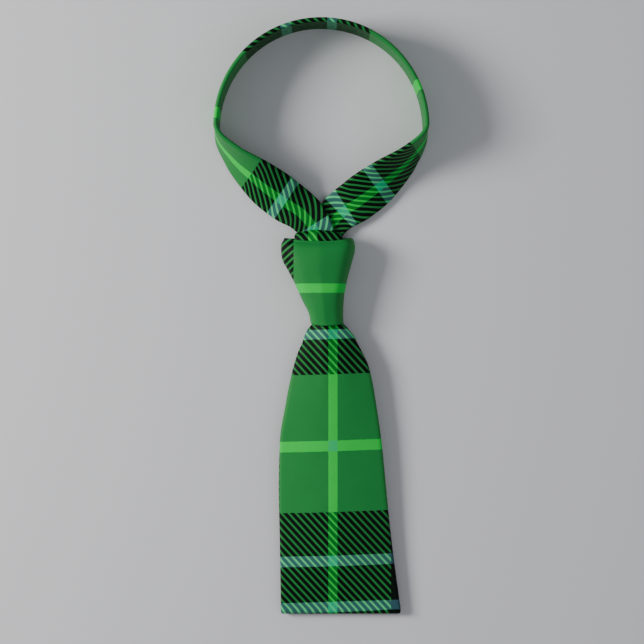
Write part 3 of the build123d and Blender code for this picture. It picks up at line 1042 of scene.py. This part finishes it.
knot = {
    # place up the tie, then left edge, right edge and height in millimetres
    "left": [(knotLipY, -11.2), (-19, -12.6), (-10, -17.0), (0, -21.4), (6, -24.4), (12, -27.6),
             (16, -29.9), (21, -31.2), (26, -31.4), (knotTopY, -29.0)],
    "right": [(knotLipY, 11.0), (-20, 10.6), (-10, 11.0), (0, 12.5), (6, 13.8), (16, 16.6), (26, 18.8),
              (knotTopY, 17.0)],
    "height": [(knotLipY, 21.0), (-10, 24.0), (6, 26.0), (16, 27.0), (26, 25.6), (knotTopY, 21.5)],
    "ridge": [(knotLipY, -1.5), (16, -5.0), (knotTopY, -5.0)],
    "shoulder": 0.36,
    "slope": 0.17,
    "corner": 6.5,
    "layer": 2.4,
    "wall": 0.42,
    "dip": 1.1,
}


def roundPower(value, power):
    return math.copysign(abs(value) ** power, value)


def knotSection(y, turn, inset):
    # a point round the knot: turn 0 is the right side, a quarter is the front, a half the left side
    left = smoothThrough(knot["left"], y) + inset
    right = smoothThrough(knot["right"], y) - inset
    height = smoothThrough(knot["height"], y)
    top = height - inset
    bottom = inset
    middleZ = bottom + (top - bottom) * knot["shoulder"]
    angle = turn * 2 * math.pi
    c, s = math.cos(angle), math.sin(angle)
    half = (right - left) / 2
    middleX = (left + right) / 2
    if s >= 0:
        aside = abs(roundPower(c, 0.85))
        x = middleX + half * roundPower(c, 0.85)
        lean = (1 - knot["slope"] * aside ** 1.25) * math.sqrt(max(1 - aside ** knot["corner"], 0.0))
        z = middleZ + (top - middleZ) * lean
        ridge = smoothThrough(knot["ridge"], y)
        x += (ridge - middleX) * (1 - aside ** 2)
    else:
        x = middleX + half * roundPower(c, 0.42)
        z = middleZ + (middleZ - bottom) * roundPower(s, 0.42)
    return x, z


def knotWrinkle(y, turn):
    # soft drag lines from the upper left towards the lip
    front = max(math.sin(turn * 2 * math.pi), 0.0)
    lean = turn * 5.2 + y * 0.035
    drag = 0.26 * math.sin(lean * 3.1 + 0.7) * math.sin(y * 0.11 + turn * 4.0)
    return drag * front


def knotWrapPlace(column, row):
    # row runs over the outside from the top edge to the lip, round it and back up inside
    kind, y, inset, pull = row
    front = max(math.sin(column * 2 * math.pi), 0.0)
    dip = knot["dip"] * front ** 2 * ease(knotLipY + 22, knotLipY, y)
    x, z = knotSection(y, column, inset - knotWrinkle(y, column) * (1 if kind == "outer" else 0))
    crest = (1.3 - 2.6 * front ** 2) * ease(knotTopY - 14, knotTopY, y)
    return Vector((x, y - dip + pull + crest, z)) * mm


def rolledRows(top, lip, layer, insideReach, count):
    # outside surface, rolled lip, inside surface, rolled top edge
    rows = []
    radius = layer / 2
    for y in spread(top - radius, lip + radius, count):
        rows.append(("outer", y, 0.0, 0.0))
    for angle in spread(0, math.pi, 9)[1:-1]:
        rows.append(("roll", lip + radius, radius * (1 - math.cos(angle)), -radius * math.sin(angle)))
    for y in spread(lip + radius, top - radius, insideReach):
        rows.append(("inner", y, layer, 0.0))
    for angle in spread(0, math.pi, 9)[1:]:
        rows.append(("roll", top - radius, radius * (1 + math.cos(angle)), radius * math.sin(angle)))
    return rows


def perimeterTable(y, count, inset=0.0):
    # distance round the knot at each of count turns
    places = [0.0]
    before = None
    for index in range(count + 1):
        x, z = knotSection(y, index / count, inset)
        if before:
            places.append(places[-1] + math.hypot(x - before[0], z - before[1]))
        before = (x, z)
    return places


wrapTurns = 128
wrapColumns = [index / wrapTurns for index in range(wrapTurns + 1)]
wrapRows = rolledRows(knotTopY, knotLipY, knot["layer"], 24, 48)

knotPattern = {"line": -1.7, "edge": 70.2, "rightShift": 14.0, "leftShift": 8.0}


def wrapCloth(column, row):
    # the band runs level round the knot: its bright line lies across the middle
    kind, y, inset, pull = row
    x, z = knotSection(min(max(y, knotLipY), knotTopY), column, 0.0)
    front = math.sin(column * 2 * math.pi) >= 0
    if kind == "inner" or (kind == "roll" and inset > knot["layer"] / 2):
        across = knotLipY - (y - knotLipY) - knotPattern["line"]
    else:
        across = y + pull - knotPattern["line"]
    along = x if front else 2 * smoothThrough(knot["right"], y) - x + knotPattern["rightShift"]
    if column > 0.5:
        along = 2 * smoothThrough(knot["left"], y) - x - knotPattern["leftShift"]
    return (-across * mm, (knotPattern["edge"] - along) * mm)


knotWrap = makeObject(
    "knot_outer_wrap",
    gridOver(wrapColumns, wrapRows, knotWrapPlace, wrapCloth, closed=True),
    tartanSilk,
    knot["wall"] * mm,
)
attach(knotWrap, "knot")
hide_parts("knot_front_wrap", "knot_back_wrap")

innerWrap = {"top": knotTopY - 0.2, "end": -13.5, "inset": 2.75, "layer": 2.3, "from": 0.01, "to": 0.49}
innerRows = rolledRows(innerWrap["top"], innerWrap["end"], innerWrap["layer"], 16, 30)


def innerWrapPlace(column, row):
    kind, y, inset, pull = row
    x, z = knotSection(y, column, innerWrap["inset"] + inset)
    return Vector((x, y + pull, z)) * mm


def innerWrapCloth(column, row):
    kind, y, inset, pull = row
    x, z = knotSection(y, column, innerWrap["inset"])
    return ((y + 9.0) * mm, (x + 70.0) * mm)


innerPiece = makeObject(
    "knot_under_wrap",
    gridOver(spread(innerWrap["from"], innerWrap["to"], 60), innerRows, innerWrapPlace, innerWrapCloth,
             closed=True),
    tartanSilk,
    knot["wall"] * mm,
)
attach(innerPiece, "knot")
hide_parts("knot_inner_wrap")

bridgeLow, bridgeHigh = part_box("knot_top_bridge")
bridge = {
    "axisY": bridgeLow[1] / mm,
    "axisZ": (bridgeLow[2] + bridgeHigh[2]) / 2 / mm,
    "radius": (bridgeHigh[2] - bridgeLow[2]) / 2 / mm - 1.3,
    "middle": (bridgeLow[0] + bridgeHigh[0]) / 2 / mm,
    "half": (bridgeHigh[0] - bridgeLow[0]) / 2 / mm,
    "droop": 2.6,
    "wall": 0.42,
}
bridgeFrontZ = bridge["axisZ"] + bridge["radius"]
bridgeTurn = math.pi * bridge["radius"]
# the blade's own cloth, up behind the wraps and over the top of the knot
gather = {
    "startY": mouthY / mm + 9.5,
    "z": [(0, 12.9), (20, 13.4), (34, 15.4), (44, bridgeFrontZ - 0.6), (49, bridgeFrontZ)],
    "half": [(0, 6.0), (12, 7.0), (26, 11.0), (42, 15.0), (49, bridge["half"] - 0.1)],
    "middle": [(0, -0.4), (20, -3.6), (42, bridge["middle"])],
    "thick": [(0, 4.6), (20, 4.6), (42, 2.6)],
    "tuck": 2.2,
    "drawnRun": 49.0,  # the lists above are drawn for this length
}
gatherRun = bridge["axisY"] - gather["startY"]
for key in ("z", "half", "middle", "thick"):
    gather[key] = [(place * gatherRun / gather["drawnRun"], value) for place, value in gather[key]]


def gatherHalfWidth(run):
    return smoothThrough(gather["half"], run) * mm


def gatherHalfThick(run):
    return smoothThrough(gather["thick"], run) / 2 * mm


def gatherFlap(run):
    return gatherHalfWidth(run) - 0.3 * mm


def gatherPoint(run, across, out):
    x = smoothThrough(gather["middle"], run) + across / mm
    if run <= gatherRun:
        y = gather["startY"] + run
        z = smoothThrough(gather["z"], run)
        normal = (0.0, 1.0)
    elif run <= gatherRun + bridgeTurn:
        angle = (run - gatherRun) / bridge["radius"]
        normal = (math.sin(angle), math.cos(angle))
        y = bridge["axisY"] + bridge["radius"] * normal[0]
        z = bridge["axisZ"] + bridge["radius"] * normal[1]
    else:
        normal = (0.0, -1.0)
        y = bridge["axisY"] - (run - gatherRun - bridgeTurn)
        z = bridge["axisZ"] - bridge["radius"]
    aside = abs(x - bridge["middle"]) / bridge["half"]
    soft = 0.16 * math.sin(x * 0.5 + run * 0.1) - bridge["droop"] * aside ** 2.2
    out = out / mm + soft * ease(gatherRun - 12, gatherRun, run)
    return Vector((x, y + normal[0] * out, z + normal[1] * out)) * mm


def gatherCloth(run, across, over):
    return (over + 4.0 * mm, (150.0 - run) * mm)


gatherStrip = makeStrip(gatherPoint, gatherCloth, gatherHalfWidth, gatherHalfThick, gatherFlap)
gatherRows = spread(0, gatherRun, 30)[:-1] + spread(gatherRun, gatherRun + bridgeTurn, 19)[:-1]
gatherRows += spread(gatherRun + bridgeTurn, gatherRun + bridgeTurn + gather["tuck"], 3)
gatherPiece = foldedCloth("knot_top_band", gatherStrip, gatherRows, tartanSilk, bridge["wall"] * mm)
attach(gatherPiece, "knot")
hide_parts("knot_top_bridge", "knot_blade_gather")


# how much flat cloth each piece takes

print("sheets")


def clothArea(strip, rows):
    # flat cloth of a folded strip: out to both back edges, along its length
    total = 0.0
    for before, after in zip(rows, rows[1:]):
        middle = (before + after) / 2
        half, thick, flap = strip["halfWidth"](middle), strip["halfThick"](middle), strip["flap"](middle)
        total += 2 * (half - thick + thick * math.pi + flap - thick) * (after - before) * mm
    return total


def declareStrip(strip, rows):
    widest = max(2 * (strip["halfWidth"](row) + strip["flap"](row)) for row in rows)
    area = clothArea(strip, rows)


declareStrip(bladeStrip, upperRows)
declareStrip(bladeStrip, lowerRows)
declareStrip(tailStrip, tailRows)
declareStrip(neckStrip, bandRows)
declareStrip(gatherStrip, gatherRows)
wrapRound = perimeterTable(0.0, wrapTurns)[-1] * mm
innerRound = perimeterTable(0.0, wrapTurns, innerWrap["inset"])
innerFrom, innerTo = (round(innerWrap[key] * wrapTurns) for key in ("from", "to"))
innerRound = (innerRound[innerTo] - innerRound[innerFrom]) * mm


def declareLayer(obj, rows, halfWidthAt):
    # a flat layer along a strip, as wide as halfWidthAt says
    widest = 2 * max(halfWidthAt(row) for row in rows)
    area = sum(2 * halfWidthAt((a + b) / 2) * (b - a) * mm for a, b in zip(rows, rows[1:]))


declareLayer(bladeFelt, feltRows, bladeFeltHalf)
declareLayer(tipLining, liningRows, tipLiningHalf)
declareLayer(tailFelt, tailFeltRows, tailFeltHalf)
declareLayer(tailLining, tailLiningRows, tailLiningHalf)
declareLayer(neckFelt, neckFeltRows, neckFeltHalf)
for piece, top, end, half in ((keeper, keeperTop, keeperEnd, keeperHalf),
                              (label, labelTop, labelEnd, labelHalf),
                              (careLabel, careTop, careEnd, careHalf)):
    declareLayer(piece, [top, end], lambda row: half * mm)


# studio

print("studio")

studio = {
    "view": (-3.7 * mm, -24.5 * mm),
    "high": 1.4,
    "fieldWide": 0.438,
    "sensor": 36.0,
}


def makeFloor():
    bm = bmesh.new()
    bmesh.ops.create_grid(bm, x_segments=1, y_segments=1, size=3.0)
    mesh = bpy.data.meshes.new("studio_floor")
    bm.to_mesh(mesh)
    bm.free()
    floor = bpy.data.objects.new("studio_floor", mesh)
    bpy.context.scene.collection.objects.link(floor)
    floor.location.z = -0.0003
    material, shader = plainMaterial("pale floor", 0.9, 0.1)
    shader.inputs["Base Color"].default_value = (0.62, 0.62, 0.64, 1)
    mesh.materials.append(material)
    return floor


def addLight(name, place, target, size, power, colour):
    data = bpy.data.lights.new(name, "AREA")
    data.size = size
    data.energy = power
    data.color = colour
    light = bpy.data.objects.new(name, data)
    light.location = place
    light.rotation_euler = (Vector(target) - Vector(place)).to_track_quat("-Z", "Y").to_euler()
    bpy.context.scene.collection.objects.link(light)
    return light


floor = makeFloor()
addLight("key_light", (-1.20, 0.20, 0.78), (0, -0.08, 0), 0.5, 27, (1.0, 0.99, 0.97))
addLight("fill_light", (0.7, -0.4, 1.6), (0, -0.05, 0), 1.4, 5, (0.97, 0.98, 1.0))

world = bpy.data.worlds.new("studio")
bpy.context.scene.world = world
world.use_nodes = True
background = next(node for node in world.node_tree.nodes if node.type == "BACKGROUND")
background.inputs["Color"].default_value = (0.9, 0.93, 1.0, 1)
background.inputs["Strength"].default_value = 0.30

cameraData = bpy.data.cameras.new("camera")
cameraData.sensor_width = studio["sensor"]
cameraData.lens = studio["sensor"] * studio["high"] / studio["fieldWide"]
camera = bpy.data.objects.new("camera", cameraData)
camera.location = (studio["view"][0], studio["view"][1], studio["high"])
bpy.context.scene.collection.objects.link(camera)
bpy.context.scene.camera = camera
